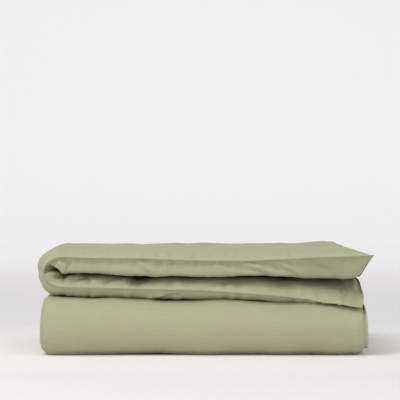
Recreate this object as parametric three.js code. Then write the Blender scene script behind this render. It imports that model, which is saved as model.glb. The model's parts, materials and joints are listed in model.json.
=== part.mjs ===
// A single duvet in its cover, folded for the shelf: halved across its width, then laid in
// three along its length like a letter Z, with the head end free on top at the front.
// Millimetres, +Z up, front towards -Y, origin at the middle of the footprint on the floor.
import * as THREE from 'three';

// ---------------------------------------------------------------- driving dimensions
const CUT_WIDTH = 1500;        // cover, side seam to side seam, laid flat
const CUT_LENGTH = 2000;       // cover, head seam to foot seam, laid flat
const FREE_LOFT = 61;          // one thickness of the duvet where nothing presses on it
const PRESSED_LOFT = 30;       // one thickness under the weight of the layers above
const COVER_CLOTH = 0.6;       // cover cotton with its nap
const CASING_CLOTH = 0.6;      // ticking of the quilt inside
const CLOTH_GAP = 0.4;         // clearance between one cloth and the next
const CREASE_RADIUS = 1;       // inner radius at the core of the width fold
const FOLD_GAP = 0.5;          // clearance from a length fold's pivot to the cloth round it
const EDGE_FLANGE = 10;        // flat stitched edge outside the seam, head and sides
const FOOT_HEM = 30;           // button hem outside the foot seam
const FOOT_PROUD = 110;        // how far the foot end lies behind the rear fold's pivot
const CASSETTE_ROWS = 7;       // quilted pockets along the length
const CASSETTE_COLUMNS = 4;    // and across the width
const TOP_ROWS = 2;            // rows that lie in the free top third, in front of the rear fold
const STITCH_GAP = 1.2;        // line between two pockets where the quilting runs
const SECTION_GAP = 0.4;       // clearance between two stretches of one cloth at a fold
const EDGE_LINES = [0, 6, 18, 36];          // distances in from a seam where the edge profile turns
const EDGE_SHARES = [0, 0.5, 0.87, 1];      // share of the loft reached at each of them
const FOLD_FACETS = 4;         // facets round the width fold
const BEND_FACETS = 6;         // facets round each length fold
const BUTTON_COUNT = 6;
const BUTTON_PITCH = 220;      // an even count, so that no button lies on the width fold
const BUTTON_RADIUS = 7.5;
const BUTTON_THICKNESS = 2.6;
const BUTTON_HOLE_RADIUS = 0.9;
const BUTTON_HOLE_PITCH = 3;
const HEM_SEAT = 0.3;          // clearance between the hem and what is sewn to it
const LABEL_FROM_SEAM = 60;    // care label, flat on the foot hem near the right seam
const LABEL_WIDTH = 36;
const LABEL_LENGTH = 22;
const LABEL_CLOTH = 0.5;

// ---------------------------------------------------------------- sizes that follow
const ply = 2 * COVER_CLOTH + CLOTH_GAP;                 // both cover cloths at a stitched edge
const halfHeight = (loft) => CREASE_RADIUS + loft;       // from the width fold's plane to the outside
const rowLength = CUT_LENGTH / CASSETTE_ROWS;
const columnWidth = CUT_WIDTH / CASSETTE_COLUMNS;
const topRun = TOP_ROWS * rowLength;
const rearBend = Math.PI * (FOLD_GAP + (halfHeight(FREE_LOFT) + halfHeight(PRESSED_LOFT)) / 2);
const frontBend = Math.PI * (FOLD_GAP + halfHeight(PRESSED_LOFT));
const middleRun = (CUT_LENGTH - topRun - rearBend - frontBend - FOOT_PROUD) / 2;

// lengths along the duvet, from the head seam, where one stretch ends and the next starts
const rearStart = topRun;
const middleStart = rearStart + rearBend;
const frontStart = middleStart + middleRun;
const bottomStart = frontStart + frontBend;

// pivots of the two length folds
const pressedHeight = 2 * halfHeight(PRESSED_LOFT);
const rollRadius = FOLD_GAP + pressedHeight;
const frontReach = Math.max(middleRun + rollRadius, topRun + EDGE_FLANGE);
const backReach = FOOT_PROUD + FOOT_HEM;
const rearPivotY = (frontReach - backReach) / 2;
const frontPivotY = rearPivotY - middleRun;
const frontPivotZ = rollRadius;
const rearPivotZ = frontPivotZ + 2 * FOLD_GAP + pressedHeight;

// the right-hand edge, so that the widest section is centred across
const creaseMid = (loft) => CREASE_RADIUS + loft / 2;
const flatRun = (loft) => (CUT_WIDTH - Math.PI * creaseMid(loft)) / 2;
const widest = flatRun(FREE_LOFT) + halfHeight(FREE_LOFT) + EDGE_FLANGE;
const rightEdgeX = widest / 2 - EDGE_FLANGE;

// ---------------------------------------------------------------- the folded cloth
const mix = (a, b, share) => a + (b - a) * share;
const smooth = (s) => s * s * (3 - 2 * s);

// Share of the way round the rear fold, 0 at the top third and 1 at the middle third.
const roundRear = (v) => THREE.MathUtils.clamp((v - rearStart) / rearBend, 0, 1);
const loftAt = (v) => mix(FREE_LOFT, PRESSED_LOFT, smooth(roundRear(v)));

// Takes a place on the flat duvet (u across, v along) and w, the distance out from the middle
// of its thickness, to the folded shape.
function place(u, v, w) {
  const loft = loftAt(v);
  const mid = creaseMid(loft);
  const run = flatRun(loft);
  let x, h;                                   // h is the height over the width fold's plane
  if (u <= run) {
    x = rightEdgeX - u;
    h = mid + w;
  } else if (u >= CUT_WIDTH - run) {
    x = rightEdgeX - (CUT_WIDTH - u);
    h = -(mid + w);
  } else {
    const turn = (u - run) / mid;
    x = rightEdgeX - run - (mid + w) * Math.sin(turn);
    h = (mid + w) * Math.cos(turn);
  }
  return along(x, h, v, FOLD_GAP + halfHeight(loft));
}

// Lays the doubled duvet along the Z: top third, rear fold, middle third, front fold, bottom third.
function along(x, h, v, midRadius) {
  const at = (y, z) => new THREE.Vector3(x, y, z);
  if (v <= rearStart) return at(rearPivotY - (rearStart - v), rearPivotZ + midRadius + h);
  if (v < middleStart) {
    const turn = Math.PI * roundRear(v);
    const r = midRadius + h;
    return at(rearPivotY + r * Math.sin(turn), rearPivotZ + r * Math.cos(turn));
  }
  if (v <= frontStart) return at(rearPivotY - (v - middleStart), rearPivotZ - midRadius - h);
  if (v < bottomStart) {
    const turn = (Math.PI * (v - frontStart)) / frontBend;
    const r = midRadius - h;
    return at(frontPivotY - r * Math.sin(turn), frontPivotZ + r * Math.cos(turn));
  }
  return at(frontPivotY + (v - bottomStart), frontPivotZ - midRadius + h);
}

// Share of the full thickness at a distance in from a seam.
function edgeShare(distance) {
  if (distance <= 0) return 0;
  for (let i = 1; i < EDGE_LINES.length; i++) {
    if (distance <= EDGE_LINES[i]) {
      const s = (distance - EDGE_LINES[i - 1]) / (EDGE_LINES[i] - EDGE_LINES[i - 1]);
      return mix(EDGE_SHARES[i - 1], EDGE_SHARES[i], s);
    }
  }
  return 1;
}
const edgeShareAt = (u, v) =>
  edgeShare(Math.min(u, CUT_WIDTH - u)) * edgeShare(Math.min(v, CUT_LENGTH - v));

// Half the thickness of the covered duvet, and where each cloth and the filling end inside it.
const coverOut = (u, v) => mix(ply, loftAt(v), edgeShareAt(u, v)) / 2;
const coverIn = (u, v) => coverOut(u, v) - COVER_CLOTH;
const seamHalf = CLOTH_GAP / 2 + CASING_CLOTH;
const casingRim = EDGE_LINES[1];
const onRim = (u, v) => Math.min(u, CUT_WIDTH - u, v, CUT_LENGTH - v) <= casingRim + 0.01;
const casingOut = (u, v) => (onRim(u, v) ? seamHalf : coverIn(u, v) - CLOTH_GAP);
const casingIn = (u, v) => casingOut(u, v) - CASING_CLOTH;
const fillOut = (u, v) => coverIn(u, v) - 2 * CLOTH_GAP - CASING_CLOTH;

// ---------------------------------------------------------------- grids over the flat duvet
// A line across is a distance from either side seam, or a turn round the width fold.
const atRightSeam = (distance) => () => distance;
const atLeftSeam = (distance) => () => CUT_WIDTH - distance;
const atTurn = (turn) => (v) => flatRun(loftAt(v)) + turn * creaseMid(loftAt(v));
const turns = (from, to, facets) =>
  Array.from({ length: facets + 1 }, (_, i) => atTurn(mix(from, to, i / facets)));

const spread = (from, to, cells) => Array.from({ length: cells + 1 }, (_, i) => mix(from, to, i / cells));
const halfGap = SECTION_GAP / 2;

// The five stretches between the folds, each with the lines along the duvet that shape it.
function stretches(rim, headFlange, footFlange) {
  const head = EDGE_LINES.filter((d) => d >= rim);
  const foot = [...head].reverse().map((d) => CUT_LENGTH - d);
  return [
    { name: 'top_third', lines: [...headFlange, ...head, rearStart - halfGap] },
    { name: 'rear_fold', lines: spread(rearStart + halfGap, middleStart - halfGap, BEND_FACETS) },
    { name: 'middle_third', lines: [middleStart + halfGap, frontStart - halfGap] },
    { name: 'front_fold', lines: spread(frontStart + halfGap, bottomStart - halfGap, BEND_FACETS) },
    { name: 'bottom_third', lines: [bottomStart + halfGap, ...foot, ...footFlange] },
  ];
}

// A closed solid between two surfaces over a grid: outer(u, v) and inner(u, v) are distances w.
function slab(acrossLines, alongLines, outer, inner) {
  const columns = acrossLines.length;
  const rows = alongLines.length;
  const points = [];
  for (const surface of [outer, inner]) {
    for (const v of alongLines) {
      for (const line of acrossLines) {
        const u = line(v);
        points.push(...place(u, v, surface(u, v)).toArray());
      }
    }
  }
  const at = (layer, j, i) => (layer * rows + j) * columns + i;
  const index = [];
  const quad = (a, b, c, d) => index.push(a, c, b, a, d, c);
  for (let j = 0; j + 1 < rows; j++) {
    for (let i = 0; i + 1 < columns; i++) {
      quad(at(0, j, i), at(0, j, i + 1), at(0, j + 1, i + 1), at(0, j + 1, i));
      quad(at(1, j, i), at(1, j + 1, i), at(1, j + 1, i + 1), at(1, j, i + 1));
    }
    quad(at(0, j, 0), at(0, j + 1, 0), at(1, j + 1, 0), at(1, j, 0));
    const end = columns - 1;
    quad(at(0, j, end), at(1, j, end), at(1, j + 1, end), at(0, j + 1, end));
  }
  for (let i = 0; i + 1 < columns; i++) {
    quad(at(0, 0, i), at(1, 0, i), at(1, 0, i + 1), at(0, 0, i + 1));
    quad(at(0, rows - 1, i), at(0, rows - 1, i + 1), at(1, rows - 1, i + 1), at(1, rows - 1, i));
  }
  const geometry = new THREE.BufferGeometry();
  geometry.setAttribute('position', new THREE.Float32BufferAttribute(points, 3));
  geometry.setIndex(index);
  geometry.computeVertexNormals();
  return geometry;
}

// ---------------------------------------------------------------- materials
const coverCotton = new THREE.MeshStandardMaterial({ color: 0xacad8e, roughness: 0.92, metalness: 0 });
const ticking = new THREE.MeshStandardMaterial({ color: 0xf1efe8, roughness: 0.9, metalness: 0 });
const wadding = new THREE.MeshStandardMaterial({ color: 0xf7f6f2, roughness: 1, metalness: 0 });
const buttonResin = new THREE.MeshStandardMaterial({ color: 0xa9aa8c, roughness: 0.35, metalness: 0 });
const labelTape = new THREE.MeshStandardMaterial({ color: 0xf4f3ee, roughness: 0.7, metalness: 0 });

const duvet = new THREE.Group();

function add(name, geometry, material) {
  const mesh = new THREE.Mesh(geometry, material);
  mesh.name = name;
  duvet.add(mesh);
  return mesh;
}

// ---------------------------------------------------------------- cover and quilt casing
// One panel of cloth, in five stretches because the two length folds are hinges.
function panel(name, material, rim, flange, outer, inner) {
  const rightLines = [...flange.map((d) => -d), ...EDGE_LINES.filter((d) => d >= rim)];
  const leftLines = [...rightLines].reverse();
  const across = [
    ...rightLines.map(atRightSeam),
    ...turns(0, Math.PI, FOLD_FACETS),
    ...leftLines.map(atLeftSeam),
  ];
  const footFlange = flange.length ? [CUT_LENGTH + FOOT_HEM] : [];
  for (const { name: stretch, lines } of stretches(rim, flange.map((d) => -d), footFlange)) {
    add(`${name}_${stretch}`, slab(across, lines, outer, inner), material);
  }
}

const negative = (surface) => (u, v) => -surface(u, v);
panel('cover_face', coverCotton, 0, [EDGE_FLANGE], coverOut, coverIn);
panel('cover_lining', coverCotton, 0, [EDGE_FLANGE], negative(coverIn), negative(coverOut));
panel('quilt_face_casing', ticking, casingRim, [], casingOut, casingIn);
panel('quilt_back_casing', ticking, casingRim, [], negative(casingIn), negative(casingOut));

// ---------------------------------------------------------------- filling
// Lines along the duvet within one row of pockets: its ends, and the facets of any fold it wraps.
function rowLines(row) {
  const fillRim = EDGE_LINES[2];
  const from = row === 0 ? fillRim : row * rowLength + STITCH_GAP / 2;
  const to = row === CASSETTE_ROWS - 1 ? CUT_LENGTH - fillRim : (row + 1) * rowLength - STITCH_GAP / 2;
  const shaping = [
    EDGE_LINES[3],
    ...spread(rearStart, middleStart, BEND_FACETS),
    ...spread(frontStart, bottomStart, BEND_FACETS),
    CUT_LENGTH - EDGE_LINES[3],
  ];
  return [from, ...shaping.filter((v) => v > from + 1 && v < to - 1), to];
}

// The gap between the two pockets that meet on the width fold is held under the cloth clearance,
// so that the filling's flat facets stay inside the casing's.
const foldHalfGap = 0.75 * CLOTH_GAP;

// Lines across one column of pockets; the width fold lies between the middle two.
function columnLines(column) {
  const half = CASSETTE_COLUMNS / 2;
  const fromSeam = column < half ? column : CASSETTE_COLUMNS - 1 - column;
  const line = column < half ? atRightSeam : atLeftSeam;
  const start = fromSeam === 0 ? [EDGE_LINES[2], EDGE_LINES[3]] : [fromSeam * columnWidth + STITCH_GAP / 2];
  const lines = start.map(line);
  if (fromSeam === half - 1) {
    const quarter = turns(0, Math.PI / 2, FOLD_FACETS / 2).slice(0, -1);
    lines.push(...quarter.map((turn) => (v) => line(turn(v))(v)));
    lines.push(line(CUT_WIDTH / 2 - foldHalfGap));
  } else {
    lines.push(line((fromSeam + 1) * columnWidth - STITCH_GAP / 2));
  }
  return column < half ? lines : lines.reverse();
}

for (let row = 0; row < CASSETTE_ROWS; row++) {
  for (let column = 0; column < CASSETTE_COLUMNS; column++) {
    const solid = slab(columnLines(column), rowLines(row), fillOut, negative(fillOut));
    add(`filling_row_${row + 1}_pocket_${column + 1}`, solid, wadding);
  }
}

// ---------------------------------------------------------------- foot hem
// A round button with four holes, its back on the plane z = 0.
function buttonGeometry() {
  const outline = new THREE.Shape().absarc(0, 0, BUTTON_RADIUS, 0, 2 * Math.PI);
  for (const [sx, sy] of [[1, 1], [-1, 1], [-1, -1], [1, -1]]) {
    const hole = new THREE.Path();
    const reach = BUTTON_HOLE_PITCH / 2;
    hole.absarc(sx * reach, sy * reach, BUTTON_HOLE_RADIUS, 0, 2 * Math.PI);
    outline.holes.push(hole);
  }
  return new THREE.ExtrudeGeometry(outline, {
    depth: BUTTON_THICKNESS,
    bevelEnabled: false,
    curveSegments: 10,
  });
}

// Each button lies on the outer side of the hem, its axis square to the cloth there.
const hemFace = ply / 2 + HEM_SEAT;
for (let i = 0; i < BUTTON_COUNT; i++) {
  const u = CUT_WIDTH / 2 + (i - (BUTTON_COUNT - 1) / 2) * BUTTON_PITCH;
  const v = CUT_LENGTH + FOOT_HEM / 2;
  const seat = place(u, v, hemFace);
  const outward = place(u, v, hemFace + 1).sub(seat).normalize();
  const button = add(`foot_button_${i + 1}`, buttonGeometry(), buttonResin);
  button.position.copy(seat);
  button.quaternion.setFromUnitVectors(new THREE.Vector3(0, 0, 1), outward);
}

const labelAcross = [LABEL_FROM_SEAM, LABEL_FROM_SEAM + LABEL_WIDTH].map(atRightSeam);
const labelMargin = (FOOT_HEM - LABEL_LENGTH) / 2;
const labelAlong = [CUT_LENGTH + labelMargin, CUT_LENGTH + FOOT_HEM - labelMargin];
add('care_label', slab(labelAcross, labelAlong, () => hemFace + LABEL_CLOTH, () => hemFace), labelTape);

export default duvet;
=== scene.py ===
# %% [markdown]
# # A folded single duvet
# The duvet is halved across its width and laid in three along its length, like a letter Z.
# Everything here is in metres, +Z is up and the front faces -Y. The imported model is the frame:
# it says where the folds turn, how high each layer lies and what moves with what.

# %% Load the frame
import json
import math

import bpy
import numpy as np
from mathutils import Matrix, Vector


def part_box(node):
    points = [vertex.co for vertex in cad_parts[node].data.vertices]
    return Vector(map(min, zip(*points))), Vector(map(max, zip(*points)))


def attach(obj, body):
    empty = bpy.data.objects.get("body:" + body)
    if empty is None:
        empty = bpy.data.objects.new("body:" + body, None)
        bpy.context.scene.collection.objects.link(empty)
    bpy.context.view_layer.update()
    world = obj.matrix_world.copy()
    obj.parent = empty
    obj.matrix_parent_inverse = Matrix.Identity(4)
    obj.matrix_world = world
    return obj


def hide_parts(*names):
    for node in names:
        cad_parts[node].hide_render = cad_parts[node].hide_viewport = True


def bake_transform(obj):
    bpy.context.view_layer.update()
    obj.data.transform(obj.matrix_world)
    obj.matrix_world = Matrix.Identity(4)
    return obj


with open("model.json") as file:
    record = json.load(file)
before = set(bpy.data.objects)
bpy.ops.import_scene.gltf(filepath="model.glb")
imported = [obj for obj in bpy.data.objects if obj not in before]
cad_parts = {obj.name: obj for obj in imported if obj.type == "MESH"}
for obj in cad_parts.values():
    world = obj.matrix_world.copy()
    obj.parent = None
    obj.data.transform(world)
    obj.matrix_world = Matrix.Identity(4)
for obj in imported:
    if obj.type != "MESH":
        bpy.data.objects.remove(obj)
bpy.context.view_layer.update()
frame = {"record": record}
hinges = {j["name"]: j for j in frame["record"]["behaviour"]["joints"]}

# %% [markdown]
# ## Sizes
# The flat cover is a rectangle. A place on it is (u, v): u runs across from the right side
# seam, v runs along from the head seam. The two pivots come from the hinges and the heights
# from the boxes of the layers, so the cloth lands where the solid layers are.

# %% Named sizes
CUT_WIDTH, CUT_LENGTH = 1.5, 2.0
FOLD_GAP = 0.0005            # from a pivot to the cloth wrapped round it
CREASE = 0.001               # inner radius of the width fold
EDGE = 0.010                 # flat stitched edge of the solid model
SIDE_FLANGE = 0.0095         # flat edge outside the side seams
HEAD_FLANGE = 0.0025         # and outside the head seam, where it is trimmed
HEM = 0.030                  # button hem at the foot
CLOTH = 0.0007               # thickness of the cover cotton
PLY_GAP = 0.0003             # between the two cloths of a flat edge
LOWEST = 0.0004              # the cloth stays this far above the floor

_, rear_y, rear_z = hinges["rear_fold_hinge"]["pos_m"]
_, front_y, front_z = hinges["front_fold_hinge"]["pos_m"]
top_low, top_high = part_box("cover_face_top_third")
right_x = top_high[0] - EDGE
head_y = top_low[1] + EDGE
half_free = (top_high[2] - rear_z - FOLD_GAP) / 2
half_pressed = (front_z - FOLD_GAP) / 2
top_run = rear_y - head_y
middle_run = rear_y - front_y
rear_bend = math.pi * (FOLD_GAP + (half_free + half_pressed) / 2)
front_bend = math.pi * (FOLD_GAP + half_pressed)
v_rear, v_middle = top_run, top_run + rear_bend
v_front = v_middle + middle_run
v_bottom = v_front + front_bend
print("fold cuts at", [round(v, 3) for v in (v_rear, v_middle, v_front, v_bottom)])
print("half heights", round(half_free, 4), round(half_pressed, 4))


def add_object(name, data):
    """An object of the given name that holds a mesh, a light or a camera."""
    obj = bpy.data.objects.new(name, data)
    bpy.context.scene.collection.objects.link(obj)
    return obj


# %% [markdown]
# ## The front, read from left to right
# The head end lies free at the front, so its edges wander: each one is a line of heights
# across the stack. Six lines say where the top, the two seams and the faces between them lie.

# %% Lines across the front
def smooth(s):
    s = np.clip(s, 0, 1)
    return s * s * (3 - 2 * s)


def mix(a, b, s):
    return a + (b - a) * s


def hump(t, centre, width):
    return np.exp(-(((t - centre) / width) ** 2))


def front_line(*points, soft=0.010):
    """A soft line through (x, height) points."""
    xs = np.linspace(-0.45, 0.45, 901)
    z = np.interp(xs, [p[0] for p in points], [p[1] for p in points])
    reach = int(4 * soft / 0.001)
    kernel = np.exp(-0.5 * (np.arange(-reach, reach + 1) * 0.001 / soft) ** 2)
    z = np.convolve(np.pad(z, reach, mode="edge"), kernel / kernel.sum(), mode="valid")
    return lambda x: np.interp(x, xs, z)


crown_line = front_line((-0.36, 0.243), (-0.32, 0.246), (-0.24, 0.248), (-0.10, 0.2495),
                        (0.05, 0.249), (0.22, 0.2505), (0.30, 0.2495), (0.345, 0.2545),
                        (0.40, 0.250), soft=0.020)
upper_seam = front_line((-0.36, 0.230), (-0.307, 0.232), (-0.26, 0.229), (-0.124, 0.2285),
                        (-0.08, 0.226), (0.016, 0.223), (0.127, 0.223), (0.216, 0.227),
                        (0.34, 0.2335), (0.398, 0.237))
belly_line = front_line((-0.33, 0.193), (-0.22, 0.1905), (-0.138, 0.1895), (-0.105, 0.183),
                        (0.016, 0.183), (0.10, 0.187), (0.195, 0.185), (0.235, 0.182),
                        (0.275, 0.178), (0.34, 0.178), (0.39, 0.182))
shelf_line = front_line((-0.33, 0.190), (-0.24, 0.188), (-0.18, 0.186), (-0.148, 0.168),
                        (-0.118, 0.174), (-0.10, 0.181), (0.06, 0.181), (0.10, 0.176),
                        (0.13, 0.180), (0.16, 0.178), (0.195, 0.168), (0.24, 0.169), (0.30, 0.158),
                        (0.34, 0.145), (0.37, 0.126))
lower_seam = front_line((-0.36, 0.164), (-0.30, 0.160), (-0.218, 0.1585), (-0.136, 0.156),
                        (0.016, 0.153), (0.105, 0.1465), (0.155, 0.1435), (0.21, 0.138),
                        (0.26, 0.1325), (0.30, 0.1245), (0.335, 0.1215), (0.37, 0.114), soft=0.008)
lobe_line = front_line((-0.36, 0.141), (-0.28, 0.135), (-0.134, 0.1315), (0.016, 0.128),
                       (0.045, 0.130), (0.143, 0.125), (0.25, 0.1235), (0.29, 0.1195),
                       (0.34, 0.1205), (0.39, 0.118), soft=0.02)

# %% [markdown]
# ## Edge profiles
# A stuffed cloth thins towards its seam like a lens. The side that faces up slopes gently.
# The side that faces down runs back under a small lip, comes forward again in a soft belly
# and only then turns in, so the seam overhangs it and throws a thin shadow.

# %% Edge profiles
def swell(d, reach, lip=0.0, power=0.6):
    """Share of the full thickness at a distance d inside a seam."""
    s = np.clip((d - lip) / reach, 0, 1)
    return (1 - (1 - s) ** 2) ** power


hang_share = front_line((0, 0), (0.004, 0.015), (0.011, 0.14), (0.024, 0.44), (0.036, 0.72),
                        (0.046, 0.92), (0.056, 1.0), soft=0.003)
hang_depth = front_line((-0.02, -0.02), (0, 0), (0.004, 0.0045), (0.010, 0.0080), (0.022, 0.0030),
                        (0.034, -0.0005), (0.044, -0.0005), (0.052, 0.007), (0.066, 0.027),
                        (0.14, 0.14), (0.44, 0.44), soft=0.003)


# %% [markdown]
# ## Folding the cloth
# One function takes the flat cover to the folded stack. Across, the doubled cloth runs flat,
# turns half a circle round the width fold and runs back. Along, it follows the Z. Each place
# has a middle height and a thickness to either side, so both panels come from one rule.

# %% The width fold
UPPER_SHARE = 0.55           # of the free height, the upper thickness has this much
FOLD_X = right_x - CUT_WIDTH / 2 + 0.05


def side_distance(u):
    return np.minimum(u, CUT_WIDTH - u)


def across(u, up, low):
    """x, middle height and turn of the doubled cloth in a section. up and low give the middle
    height of the upper and lower thickness at x."""
    radius = (up(FOLD_X) - low(FOLD_X)) / 2
    run = (CUT_WIDTH - np.pi * radius) / 2
    turn = np.clip((u - run) / radius, 0, np.pi)
    x = right_x - np.minimum(side_distance(u), run) - radius * np.sin(turn)
    middle = (up(FOLD_X) + low(FOLD_X)) / 2 + radius * np.cos(turn)
    middle = middle + np.where(u < run, up(x) - up(FOLD_X), 0)
    middle = middle + np.where(u > CUT_WIDTH - run, low(x) - low(FOLD_X), 0)
    return x, middle, turn


# %% The Z along the length
def bend_share(v):
    return np.clip((v - v_rear) / rear_bend, 0, 1)


def along(h, v, half):
    """Lays a height h over the doubled cloth's middle plane along the Z: gives y and z."""
    reach = FOLD_GAP + half
    y = rear_y - (v_rear - v)
    z = rear_z + reach + h
    rear = (v > v_rear) & (v < v_middle)
    turn = np.pi * bend_share(v)
    y = np.where(rear, rear_y + (reach + h) * np.sin(turn), y)
    z = np.where(rear, rear_z + (reach + h) * np.cos(turn), z)
    middle = (v >= v_middle) & (v <= v_front)
    y = np.where(middle, rear_y - (v - v_middle), y)
    z = np.where(middle, rear_z - reach - h, z)
    front = (v > v_front) & (v < v_bottom)
    turn = np.pi * np.clip((v - v_front) / front_bend, 0, 1)
    y = np.where(front, front_y - (reach - h) * np.sin(turn), y)
    z = np.where(front, front_z + (reach - h) * np.cos(turn), z)
    bottom = v >= v_bottom
    y = np.where(bottom, front_y + (v - v_bottom), y)
    z = np.where(bottom, front_z - reach + h, z)
    return y, z


def settle(x, y, z):
    """The stack settles a little lower to the right at the front: heights are moved between
    the front fold's pivot, the top of the lobe and the crown, and not at the rear pivot."""
    lap, crown = rear_z, top_high[2]
    lobe = mix(lobe_line(x), lap, smooth((y - front_y) / (rear_y - front_y - 0.06)))
    lower = z + (lobe - lap) * smooth((z - front_z) / (lap - front_z))
    upper = lobe + (z - lap) * (crown_line(x) - lobe) / (crown - lap)
    return np.where(z < lap, lower, upper)


# %% [markdown]
# ## The whole map
# side is +1 for the face panel, which shows all round, and -1 for the lining panel, which
# shows only at the open edges. depth is how far under the cloth's surface a point lies.

# %% The whole map
FRONT_FADE = 0.20            # how far in from the head seam the front lines reach
MOUTH = 0.026                # how far the lining stands open inside the width fold at the front
SHIFT_LEFT = -0.014          # the loose layers lie a little to the left of the pressed ones
SHOULDER = 0.010             # extra fullness high on the outside of the width fold
FLARE = 0.009                # how far the width fold stands out to the left at its front end
# for the upper and the lower thickness at the right side seam:
CLOSING = 0.028, -0.014      # how far the seams draw together beyond the free front
SINK = 0.030, -0.020         # and within it, behind the corners
EAR = 0.032, 0.004           # how far the corner stands out
EAR_REACH = 0.038            # how far along the seam an ear fades away
EDGE_OUT = 0.015             # how far the whole side edge stands out behind the ears
NOTCH, NOTCH_HIGH = 0.007, 0.142    # how far the left end fills out, and how high
HEM_DROOP = 0.006


def edges(u, v, side, upper, free):
    """Share of the thickness left near the seams."""
    down = np.where(side * upper > 0, 0.0, 1.0)
    inside = side_distance(u)
    behind = smooth((v - 0.03) / 0.10)
    gentle = swell(inside, 0.042, power=0.5)
    plump = swell(inside, 0.016, lip=0.001, power=0.5)
    top_skin = np.where((side > 0) & (upper > 0), 1.0, 0.0)
    loose = mix(mix(plump, gentle, 1 - behind), gentle, top_skin)
    loose = mix(loose, plump, down)
    pressed = swell(inside, 0.024, power=0.5)
    side_share = mix(pressed, loose, free)
    under = np.where(side > 0, swell(v, 0.034, lip=0.004, power=0.55), hang_share(v))
    head_reach = mix(0.045, 0.085, smooth((u - 0.02) / 0.10))
    head_share = mix(swell(v, head_reach, power=0.62), under, down)
    foot_share = swell(CUT_LENGTH - v, 0.060, power=0.55)
    return side_share * head_share * foot_share


def cover_point(u, v, side, depth=0.0):
    """Places of the flat cover in the folded stack, as an array of x, y, z."""
    u, v = np.broadcast_arrays(np.asarray(u, float), np.asarray(v, float))
    free = 1 - smooth(bend_share(v))
    half = mix(half_pressed, half_free, free)
    single = half - CREASE
    upper_full = 2 * single * mix(0.5, UPPER_SHARE, free)
    lower_full = 2 * single - upper_full
    contact = -half + CREASE + lower_full
    up_mid = contact + CREASE + upper_full / 2
    low_mid = contact - CREASE - lower_full / 2
    radius = (up_mid - low_mid) / 2
    run = (CUT_WIDTH - np.pi * radius) / 2
    turn = np.clip((u - run) / radius, 0, np.pi)
    x = right_x - np.minimum(side_distance(u), run) - radius * np.sin(turn)
    h = (up_mid + low_mid) / 2 + radius * np.cos(turn)
    upper = np.cos(turn)
    full = mix(lower_full, upper_full, (1 + upper) / 2) / 2
    share = edges(u, v, side, upper, free)
    full = full + SHOULDER * free * (side > 0) * np.clip(np.sin(2 * turn), 0, 1)
    w = side * np.maximum(full * share, CLOTH + PLY_GAP / 2) - side * depth
    xg = x - w * np.sin(turn)
    inside = side_distance(u)
    first_half = u < CUT_WIDTH / 2
    away = 1 - np.exp(-((np.maximum(v, 0) / 0.04) ** 2))
    closing = np.where(first_half, *CLOSING) * (1 - smooth(inside / 0.05)) * away * free
    y, z = along(h + w * np.cos(turn) - closing * (1 - share), v, half)
    generic = np.stack([xg, y, settle(xg, y, z)], -1)

    # the free front, from the lines across it
    x0, mid, turn0 = across(u, upper_seam, lower_seam)
    up0 = np.cos(turn0)
    rise = np.where(side > 0, crown_line(x0) - upper_seam(x0), upper_seam(x0) - belly_line(x0))
    fall = np.where(side > 0, lower_seam(x0) - lobe_line(x0) - 0.001, shelf_line(x0) - lower_seam(x0))
    full0 = mix(fall, rise, (1 + up0) / 2)
    round_fold = np.sin(turn0)
    full0 = full0 + SHOULDER * (side > 0) * np.clip(np.sin(2 * turn0), 0, 1)
    hanging = np.where((side < 0) & (up0 > -0.2), 1 - smooth((turn0 - 0.75) / 0.45), 0.0)
    hanging = hanging * mix(1, 0.4, smooth((x0 - 0.20) / 0.09)) * smooth(inside / 0.035)
    y0 = rear_y - v_rear + mix(v, hang_depth(v), hanging)
    sink = np.where(first_half, *SINK) * (1 - smooth(inside / 0.06)) * away
    mid = mid - sink
    full0 = np.maximum(full0 + sink * side * np.where(first_half, 1, -1), 0.004)
    between_flaps = smooth((turn0 - 0.80) / 0.30) * (1 - smooth((turn0 - 1.60) / 0.45))
    mouth = MOUTH * between_flaps * (side < 0) * (1 - smooth(v / 0.16))
    w0 = side * np.maximum((full0 - mouth) * share, CLOTH + PLY_GAP / 2) - side * depth
    flare = FLARE * round_fold * np.exp(-np.maximum(v, 0) / 0.045)
    front = np.stack([x0 - w0 * round_fold - flare, y0, mid + w0 * up0], -1)
    fade = (1 - smooth(v / FRONT_FADE))[..., None]
    p = mix(generic, front, fade)

    # a stuffed cloth draws in between its corners, and its corners stand out
    at_corner = hump(inside, 0, 0.07)
    p[..., 1] += (0.010 - 0.016 * at_corner) * (1 - smooth(v / 0.15))
    ear = np.where(first_half, *EAR) * hump(v, 0, EAR_REACH) + EDGE_OUT * away
    p[..., 0] += mix(0.0005 + 0.0095 * p[..., 0], SHIFT_LEFT, free) + ear * (1 - smooth(inside / 0.11)) * free
    notch = NOTCH * hump(p[..., 2], NOTCH_HIGH, 0.018) * smooth((-0.31 - p[..., 0]) / 0.04)
    p[..., 0] -= notch
    # behind the corners the flat edge tips down, or up on the lower thickness
    outside = np.maximum(-inside, 0) * smooth((v - 0.03) / 0.06) * free
    p[..., 0] -= 0.70 * outside
    p[..., 2] -= 0.90 * outside * np.where(first_half, 1.0, -0.7)
    standing = np.clip(-inside / SIDE_FLANGE, 0, 1) * hump(v, v_front - 0.02, 0.05) * ~first_half
    p[..., 2] += 0.016 * standing
    p[..., 0] -= 0.010 * standing
    # the foot hem hangs from its edge
    p[..., 2] -= HEM_DROOP * smooth((v - CUT_LENGTH) / HEM) * (p[..., 2] > 0.02)
    p[..., 2] = np.maximum(p[..., 2], LOWEST)
    return p


# %% [markdown]
# ## Creases and lumps
# Cotton over a loose filling is never smooth. Long soft lumps come from the filling, short
# puckers run in from each seam, and a few long drag folds cross the free end at the front.

# %% Random but fixed surfaces
dice = np.random.default_rng(20)


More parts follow.
